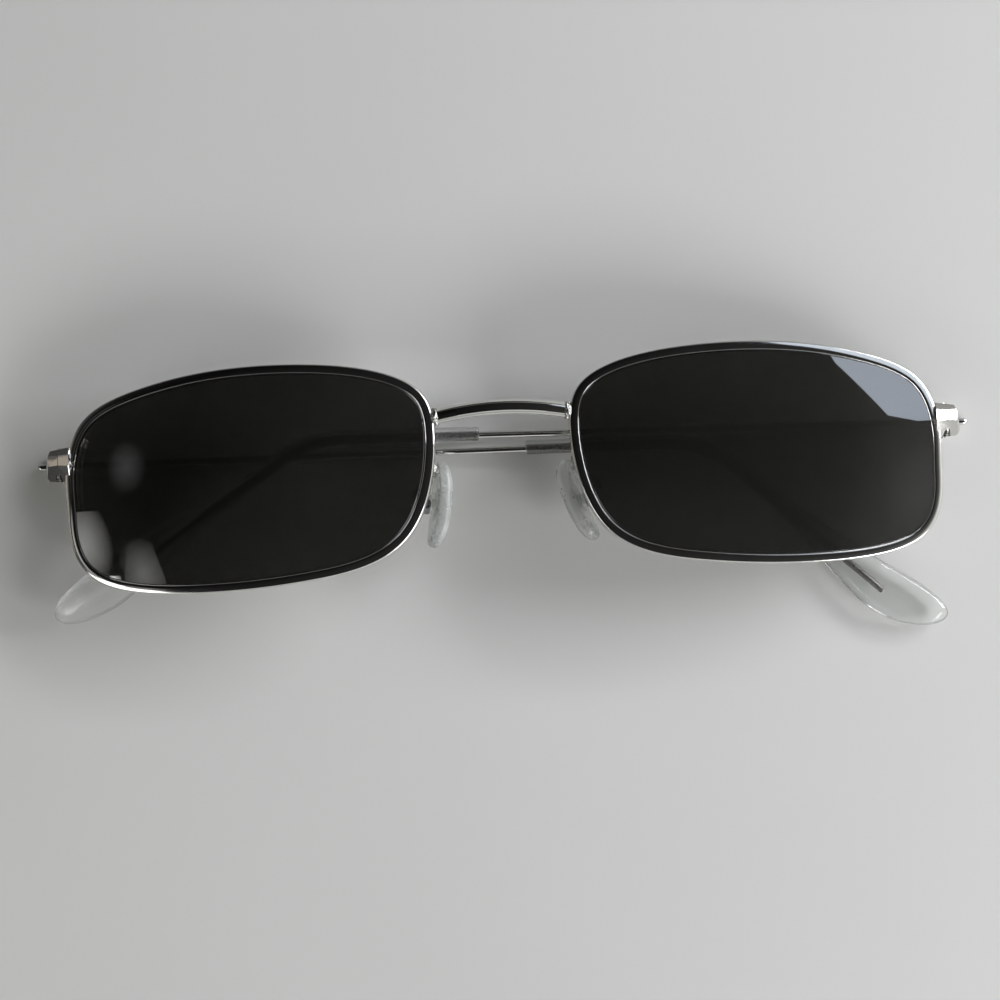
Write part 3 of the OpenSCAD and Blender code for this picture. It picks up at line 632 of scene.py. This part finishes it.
def screw_sink(side):
    """Cutter for the hole from below that the lock screw's head is sunk in."""
    sink = bmesh.new()
    hole_r, depth = HEAD_R + HEAD_PLAY, LOCK_SINK + SPARE
    bmesh.ops.create_cone(sink, segments=32, radius1=hole_r, radius2=hole_r, depth=depth, cap_ends=True)
    bmesh.ops.rotate(sink, verts=sink.verts, matrix=Matrix.Rotation(math.pi / 2, 3, "X"))
    middle = (RIM_SIDE.x + SCREW_REACH, LOCK_FOOT + (LOCK_SINK - SPARE) / 2, LOCK_FRONT - SCREW_BACK)
    bmesh.ops.translate(sink, verts=sink.verts, vec=middle)
    set_in_frame(sink, side)
    return new_object(sink, "sink")


def make_endpiece(side):
    """Faceted endpiece, cut from a block, hollow behind for the lock, with a fine groove along its fold."""
    bm = block((END_IN, END_LOW, END_BACK), (END_X + 0.6, END_TOP + 0.2, END_FRONT + 0.4))
    slope_front(bm, 0)
    cut(bm, (FRONT_X, 0, END_FRONT - END_DROP), (END_D - END_DROP, 0, SIDE_LEAN))
    for past, height, face_x, face_y in END_CUTS.values():
        cut(bm, (END_X + past, height, 0), (face_x, face_y, 0))
    soften(bm, END_ROUND)
    set_in_frame(bm, side)
    replaced = [f"endpiece_{side}"]
    piece = finish_piece(
        bm, f"end_block_{side}", "front", NICKEL, replaced, sharp=FLAT_SHARP
    )
    room = block(
        (END_IN - SPARE, LOCK_FOOT - LOCK_PLAY, END_BACK - SPARE),
        (RIM_SIDE.x + LOCK_REACH + LOCK_PLAY, LOCK_FOOT + LOCK_H + LOCK_PLAY, LOCK_FRONT),
    )
    slope_front(room, ROOM_WALL)
    set_in_frame(room, side)
    groove = block(
        (FOLD_X - GROOVE_HALF, FACET_LOW + GROOVE_LIFT, END_FRONT - FOLD_DROP - GROOVE_DEEP),
        (FOLD_X + GROOVE_HALF, END_TOP - FACET_BEVEL, END_FRONT + SPARE),
    )
    set_in_frame(groove, side)
    subtract(piece, [new_object(room, "room"), screw_sink(side), new_object(groove, "groove")])


def make_lock(side, half):
    """Half of the rim lock, a block behind the endpiece's front. The lower one takes the screw's head."""
    if half == "upper":
        low, high = HINGE_Y + SPLIT_GAP / 2, LOCK_FOOT + LOCK_H
    else:
        low, high = LOCK_FOOT, HINGE_Y - SPLIT_GAP / 2
    bm = block(
        (RIM_SIDE.x - LOCK_BITE, low, LOCK_FRONT - LOCK_DEPTH),
        (RIM_SIDE.x + LOCK_REACH, high, LOCK_FRONT - LOCK_GAP),
    )
    slope_front(bm, ROOM_WALL + LOCK_PLAY)
    soften(bm, LOCK_ROUND)
    set_in_frame(bm, side)
    replaced = [f"lock_{half}_{side}"]
    piece = finish_piece(
        bm, f"lock_block_{half}_{side}", "front", NICKEL, replaced, sharp=FLAT_SHARP
    )
    if half == "lower":
        subtract(piece, [screw_sink(side)])


# Temples. Distances along a temple are measured from its hinge pin
def bend_of(side):
    """Angle of a temple's bend, and the distances at which it starts and ends."""
    bend = math.radians(TEMPLES[side]["bend"])
    start = TEMPLES[side]["at"] - BEND_R * math.tan(bend / 2)
    return bend, start, start + BEND_R * bend


def temple_at(side, s):
    """Middle line of a temple at distance s: x, y and heading in its own plane."""
    bend, start, end = bend_of(side)
    a = 0 if s <= start else min((s - start) / BEND_R, bend)
    x, y = start + BEND_R * math.sin(a), -BEND_R * (1 - math.cos(a))
    rest = s - start if s <= start else max(0, s - end)
    return x + rest * math.cos(a), y - rest * math.sin(a), -a


def temple_ring(side, s, shape, shift=0.0, turn=0.0):
    """Section of a temple piece across its middle line, set in the frame."""
    x, y, a = temple_at(side, s)
    place = (
        Matrix.Translation((HINGE_X, HINGE_Y, -HINGE_BACK))
        @ Matrix.Scale(-1, 4, (1, 0, 0))
        @ Matrix.Rotation(math.radians(-TEMPLES[side]["lift"]), 4, "Y")
        @ Matrix.Rotation(math.radians(TEMPLES[side]["slant"]), 4, "Z")
    )
    ring = []
    for q, h in shape:
        w = q * math.cos(turn) - h * math.sin(turn) + shift
        z = q * math.sin(turn) + h * math.cos(turn)
        ring.append(to_frame(place @ Vector((x - w * math.sin(a), y + w * math.cos(a), z - BAR_OFF)), side))
    return ring


# Rounded ends of the wire: how long each is, and the share of the thickness that it starts from
NOSE_ROUND, NOSE_LEAST, TAIL_ROUND, TAIL_LEAST = 0.7, 0.12, 0.25, 0.3
MOUTH = TEMPLE_LEN - TIP_LEN + 0.2


def make_temple(side):
    """Temple wire with rounded ends: plated as far as the tip's mouth, inside the tip painted dark as a
    painted reflection.
    """
    bend, start, end = bend_of(side)
    last = end + CORE_LEN
    stations = []
    for a in spread(0.1, math.pi / 2, 8):
        stations.append((-BUTT_LEN + NOSE_ROUND * (1 - math.cos(a)), max(NOSE_LEAST, math.sin(a))))
    straight = spread(-BUTT_LEN + 1, MOUTH, 24) + spread(MOUTH, start, 10)[1:]
    bent = spread(start, end, 20)[1:] + spread(end, last - TAIL_ROUND, 8)[1:]
    stations += [(s, 1.0) for s in straight + bent]
    for a in spread(0.3, math.pi / 2, 4):
        thick = math.cos(a) * (1 - TAIL_LEAST) + TAIL_LEAST
        stations.append((last - TAIL_ROUND * (1 - math.sin(a)), thick))
    rings = [temple_ring(side, s, oval(BAR_W * k, BAR_W * k, 28, 0.9)) for s, k in stations]
    body, replaced = f"temple_{side}", [f"temple_bar_{side}"]
    piece = finish_piece(loft(rings), f"temple_wire_{side}", body, NICKEL, replaced)
    # The second material, inside the tip, is painted dark as a painted reflection
    piece.data.materials.append(CORE)
    pin = to_frame((HINGE_X, HINGE_Y, -HINGE_BACK), side)
    for face in piece.data.polygons:
        face.material_index = 1 if (face.center - pin).length > MOUTH * MM else 0


# Tips. Places along a tip are shares of its length: where its end rounds off, and where and over how much
# it swells into the paddle, curves sideways and turns. The mouth has a share of the width at each place.
# The very end keeps END_THICK of the thickness and thins to END_LEAST of that
TIP_ROUND = 0.87
SWELL_FROM, SWELL_OVER = 0.53, 0.38
HOOK_FROM, HOOK_OVER = 0.8, 0.2
TWIST_FROM, TWIST_OVER = 0.4, 0.3
TIP_MOUTH = [(0.0, 0.72), (0.0006, 0.82), (0.002, 0.92), (0.005, 0.98), (0.009, 1.0)]
END_THICK, END_LEAST, END_BLUNT, PADDLE_SQUARE = 0.35, 0.12, 1.9, 0.25


def tip_end(f):
    """Share of a tip's width that is left where its end rounds off."""
    return 1 if f < TIP_ROUND else math.sqrt(max(0, 1 - ((f - TIP_ROUND) / (1 - TIP_ROUND)) ** 2))


def make_tip(side):
    """Clear tip: a thin sleeve with a rounded mouth that swells into a flat paddle."""
    shares = [(f, 1.0) for f in spread(0.02, TIP_ROUND, 84)]
    for a in spread(0.06, math.pi / 2 - 0.03, 30):
        shares.append((TIP_ROUND + (1 - TIP_ROUND) * math.sin(a), 1.0))
    rings = []
    for f, mouth in TIP_MOUTH + shares:
        g, e = ease((f - SWELL_FROM) / SWELL_OVER), tip_end(f)
        w = mouth * e * (SLEEVE_W + (PADDLE_W - SLEEVE_W) * g)
        h = mouth * (END_THICK + (1 - END_THICK) * e) * (SLEEVE_W + (PADDLE_T - SLEEVE_W) * g)
        h *= max(END_LEAST, min(1, e * END_BLUNT))
        hook = TEMPLES[side]["hook"] * max(0, (f - HOOK_FROM) / HOOK_OVER) ** 2
        turn = math.radians(TEMPLES[side]["twist"]) * ease((f - TWIST_FROM) / TWIST_OVER)
        shape, s = oval(w, h, 40, 1 - PADDLE_SQUARE * g), TEMPLE_LEN - TIP_LEN + f * TIP_LEN
        rings.append(temple_ring(side, s, shape, SLEEVE_OFF * (1 - g) + hook, turn))
    body, replaced = f"temple_{side}", [f"temple_tip_{side}"]
    finish_piece(loft(rings), f"tip_clear_{side}", body, CLEAR, replaced, sharp=70)


# Nose pads and their arms
def pad_matrix(side, rock):
    """Place of a pad's own axes: x away from the nose, y up along it, with zero at its screw."""
    return (
        Matrix.Translation((PAD_X[side], -PAD_DROP, -PAD_BACK))
        @ Matrix.Rotation(math.radians(-PAD_SPLAY), 4, "Y")
        @ Matrix.Rotation(math.radians(PAD_LEAN + rock), 4, "Z")
    )


# A pad's outline is round where its power is 1 and squarer below that. The edges are shares of the outline,
# and the tops those of its top half, that the flat of the back and of the face reach
PAD_SQUARE = {"top": 0.38, "foot": 0.9, "sides": 0.75}
PAD_TAPER, PAD_POINTS = 0.18, 64
PAD_MIDDLE = (0.6, 0.4, 0.2, 0.01)
BACK_EDGE, BACK_TOP, FACE_EDGE, FACE_TOP = 0.86, 0.92, 0.5, 0.55


def pad_profile():
    """Rings of a pad from back to face: share of its thickness, of its outline and of its top half."""
    profile = [(0.0, s, s) for s in reversed(PAD_MIDDLE)]
    profile += [(0.0, 0.78, BACK_EDGE), (0.0, BACK_EDGE, BACK_TOP)]
    for a in spread(0.25, math.pi / 2, 6):
        share, top = BACK_EDGE + (1 - BACK_EDGE) * math.sin(a), BACK_TOP + (1 - BACK_TOP) * math.sin(a)
        profile.append((0.5 - 0.5 * math.cos(a), share, top))
    for a in spread(0.15, math.pi / 2 - 0.12, 10):
        share = FACE_EDGE + (1 - FACE_EDGE) * math.cos(a) ** 0.8
        top = FACE_TOP + (1 - FACE_TOP) * math.cos(a) ** 0.7
        profile.append((0.5 + 0.5 * math.sin(a), share, top))
    return profile + [(1.0, s, s) for s in PAD_MIDDLE[1:]]


def make_pad(side):
    """Silicone pad: round below, cut flat above, bowed, with soft edges."""
    place = pad_matrix(side, PAD_ROCK[side])
    rings = []
    for f, share, top in pad_profile():
        ring = []
        for k in range(PAD_POINTS):
            c, s = math.cos(2 * math.pi * k / PAD_POINTS), math.sin(2 * math.pi * k / PAD_POINTS)
            power, part = (PAD_SQUARE["top"], top) if s > 0 else (PAD_SQUARE["foot"], share)
            y = math.copysign(abs(s) ** power, s) * PAD_LEN / 2 * part
            z = math.copysign(abs(c) ** PAD_SQUARE["sides"], c) * PAD_W / 2 * share
            z *= 1 - PAD_TAPER * y / PAD_LEN
            x = -PAD_OFF - f * PAD_T + PAD_BOW * (2 * y / PAD_LEN) ** 2
            ring.append(to_frame(place @ Vector((x, y, z)), side))
        rings.append(ring)
    body, replaced = f"pad_{side}", [f"nose_pad_{side}"]
    finish_piece(loft(rings), f"pad_silicone_{side}", body, SILICONE, replaced, sharp=70)


# Pad arm: how far its ends reach into their joints, and how its curve leaves the rim and arrives at the box
ARM_STEPS, ARM_BITE = 32, 0.15
ARM_LEAVES, ARM_ARRIVES = Vector((-1.7, -0.8, -2.4)), Vector((-1.8, 3, 1.2))


def make_arm(side):
    """Bent wire from behind the rim to the pad's box, with a lump of brazing at the rim."""
    start = on_lens(edge_out(T_ARM, RIM_OUT / 2), ARM_BITE - RIM_D / 2)
    finish = pad_matrix(side, 0) @ Vector((BOX_REAR - ARM_BITE + ARM_W / 2, 0.6, 0))
    out, back = start + ARM_LEAVES, finish + ARM_ARRIVES
    path = []
    for u in spread(0, 1, ARM_STEPS):
        near_start = (1 - u) ** 3 * start + 3 * (1 - u) ** 2 * u * out
        path.append(near_start + 3 * (1 - u) * u**2 * back + u**3 * finish)
    bm = loft([[to_frame(p, side) for p in ring] for ring in round_bar(path, ARM_W / 2)])
    finish_piece(bm, f"arm_wire_{side}", "front", NICKEL, [f"pad_arm_{side}"])
    bead("arm_brazing", side, start)


make_bridge()
for side in SIDES:
    make_rim(side)
    make_lens(side)
    make_endpiece(side)
    make_lock(side, "upper")
    make_lock(side, "lower")
    make_temple(side)
    make_tip(side)
    make_pad(side)
    make_arm(side)
    bead("bridge_brazing", side, on_lens(edge_out(T_BRIDGE, RIM_OUT), BRIDGE_FORWARD))
    bead("end_brazing", side, RIM_SIDE)

# Hardware that keeps its solid: its edges get a fine bevel and its surface a finish
FINISHES = {
    "hinge_front": NICKEL, "hinge_temple": NICKEL, "pad_box": SATIN, "pad_insert": INSERT,
    "lock_screw": STEEL, "hinge_screw": STEEL, "pad_screw": STEEL,
}
EDGE_BEVEL, EDGE_ANGLE, SAME_POINT = 0.05, 40, 1e-6
for kind, finish in FINISHES.items():
    for side in SIDES:
        piece = nodes[f"{kind}_{side}"]
        piece.data.materials.clear()
        piece.data.materials.append(finish)
        weld = piece.modifiers.new("weld", "WELD")
        weld.merge_threshold = SAME_POINT
        rounding = piece.modifiers.new("rounding", "BEVEL")
        rounding.width = EDGE_BEVEL * MM
        rounding.segments = 2
        rounding.limit_method = "ANGLE"
        rounding.angle_limit = math.radians(EDGE_ANGLE)

# Table, a square board that reaches TABLE_HALF metres each way
TABLE_HALF = 1.5
floor_bm = bmesh.new()
bmesh.ops.create_grid(floor_bm, x_segments=1, y_segments=1, size=TABLE_HALF)
floor = new_object(floor_bm, "table_top")
floor.data.materials.append(painted_table())

# Lights, each a flat panel level with the table: colour, strength, outline, and the middle and radius over
# which it fades out. The lenses mirror only what lies within about 165 mm above and below their middle;
# the rims, the bridge and the endpieces also mirror the softboxes beyond that
LIGHT_Z = 450
PANELS = {
    "window": (
        "#E4EEFC", 1.05,
        [(293, 157), (409, 58), (476, 50), (760, 50), (760, 400), (200, 400), (240, 200)], None,
    ),
    "open_sky": (
        "#FAFBFF", 19.0,
        [(760, 45), (1500, 60), (1500, 700), (500, 700), (500, 400), (760, 400)], None,
    ),
    "shelf": (
        "#EEE2D2", 0.5,
        [(-1500, -200), (-700, -150), (-700, 200), (-1500, 200)], None,
    ),
    "lower_softbox": (
        "#FAFBFF", 10.0,
        [(400, -310), (400, -900), (1000, -900), (1000, -450), (700, -310)], None,
    ),
    "corner_softbox": (
        "#FFFFFF", 2.6,
        [(-480, -170), (-425, -168), (-405, -175), (-360, -200), (-330, -480), (-640, -480), (-640, -230)],
        None,
    ),
    "lamp": (
        "#FFFFFF", 11.0,
        [(-480, -130), (-480, -185), (-412, -180), (-412, -130)], (-446, -150, 38),
    ),
    "wall": (
        "#F4F4F0", 0.85,
        [(-640, -28), (-440, -28), (-398, -84), (-425, -225), (-640, -225)], (-510, -86, 84),
    ),
    "stripe": (
        "#F4F4F0", 0.34,
        [(-440, -56), (-352, -56), (-310, -180), (-385, -180)], (-368, -128, 58),
    ),
    "lampshade": (
        "#FFFFFF", 0.1,
        [(-440, 90), (-330, 90), (-330, -10), (-440, -10)], (-386, 38, 42),
    ),
    "doorway": (
        "#FFFFFF", 0.1,
        [(370, 10), (560, 10), (560, -160), (420, -160)], (480, -75, 95),
    ),
}


def make_panel(name, colour, strength, outline, fade):
    """Glowing panel that may fade from its middle to nothing at a radius."""
    bm = bmesh.new()
    corners = [bm.verts.new((Vector((x, y, LIGHT_Z)) + FRONT) * MM) for x, y in outline]
    bmesh.ops.contextual_create(bm, geom=corners)
    panel = new_object(bm, name)
    glow = bpy.data.materials.new(f"{name}_light")
    glow.use_nodes = True
    tree = glow.node_tree
    tree.nodes.clear()
    settings = {"Color": linear(colour), "Strength": strength}
    light = add(tree, "ShaderNodeEmission", settings).outputs["Emission"]
    if fade:
        x, y, radius = fade
        centre, scale = (Vector((x, y, LIGHT_Z)) + FRONT) * MM, per_mm(radius)
        at = add(tree, "ShaderNodeTexCoord").outputs["Object"]
        place = {"Location": -centre * scale, "Scale": (scale, scale, scale)}
        moved = add(tree, "ShaderNodeMapping", place, {"Vector": at}).outputs["Vector"]
        ball = add(tree, "ShaderNodeTexGradient", {"gradient_type": "SPHERICAL"}, {"Vector": moved})
        clear = add(tree, "ShaderNodeBsdfTransparent").outputs["BSDF"]
        faded = add(tree, "ShaderNodeMixShader", links={0: ball.outputs["Fac"], 1: clear, 2: light})
        light = faded.outputs["Shader"]
    add(tree, "ShaderNodeOutputMaterial", links={"Surface": light})
    panel.data.materials.append(glow)


for name, settings in PANELS.items():
    make_panel(name, *settings)

# Sky: a warm grey level for each height, from level with the table to overhead, where it is nearly black.
# It is stronger on the side towards the lower right
SKY_STOPS = [
    (0.0, 0.25), (0.2, 0.3), (0.34, 0.3), (0.45, 0.85),
    (0.57, 0.4), (0.7, 0.05), (0.85, 0.02), (1.0, 0.018),
]
SKY_BLUE = 0.98
BRIGHT_SIDE = (0.8, -0.45, 0)
SIDE_RANGE = {"From Min": -0.4, "From Max": 0.7, "To Min": 0.2, "To Max": 2.0}
world = bpy.data.worlds.new("room")
bpy.context.scene.world = world
world.use_nodes = True
sky = world.node_tree
direction = add(sky, "ShaderNodeTexCoord").outputs["Generated"]
height = add(sky, "ShaderNodeSeparateXYZ", links={"Vector": direction}).outputs["Z"]
ramp = add(sky, "ShaderNodeValToRGB", links={"Fac": height})
for position, level in SKY_STOPS[1:-1]:
    ramp.color_ramp.elements.new(position)
for element, (position, level) in zip(ramp.color_ramp.elements, SKY_STOPS):
    element.position = position
    element.color = (level, level, level * SKY_BLUE, 1)
towards = add(sky, "ShaderNodeVectorMath", {"operation": "DOT_PRODUCT"}, {0: direction})
towards.inputs[1].default_value = BRIGHT_SIDE
side_light = add(sky, "ShaderNodeMapRange", SIDE_RANGE, {"Value": towards.outputs["Value"]})
sky.links.new(ramp.outputs["Color"], sky.nodes["Background"].inputs["Color"])
sky.links.new(side_light.outputs["Result"], sky.nodes["Background"].inputs["Strength"])

bpy.context.scene.view_settings.view_transform = "Standard"

bpy.context.view_layer.update()
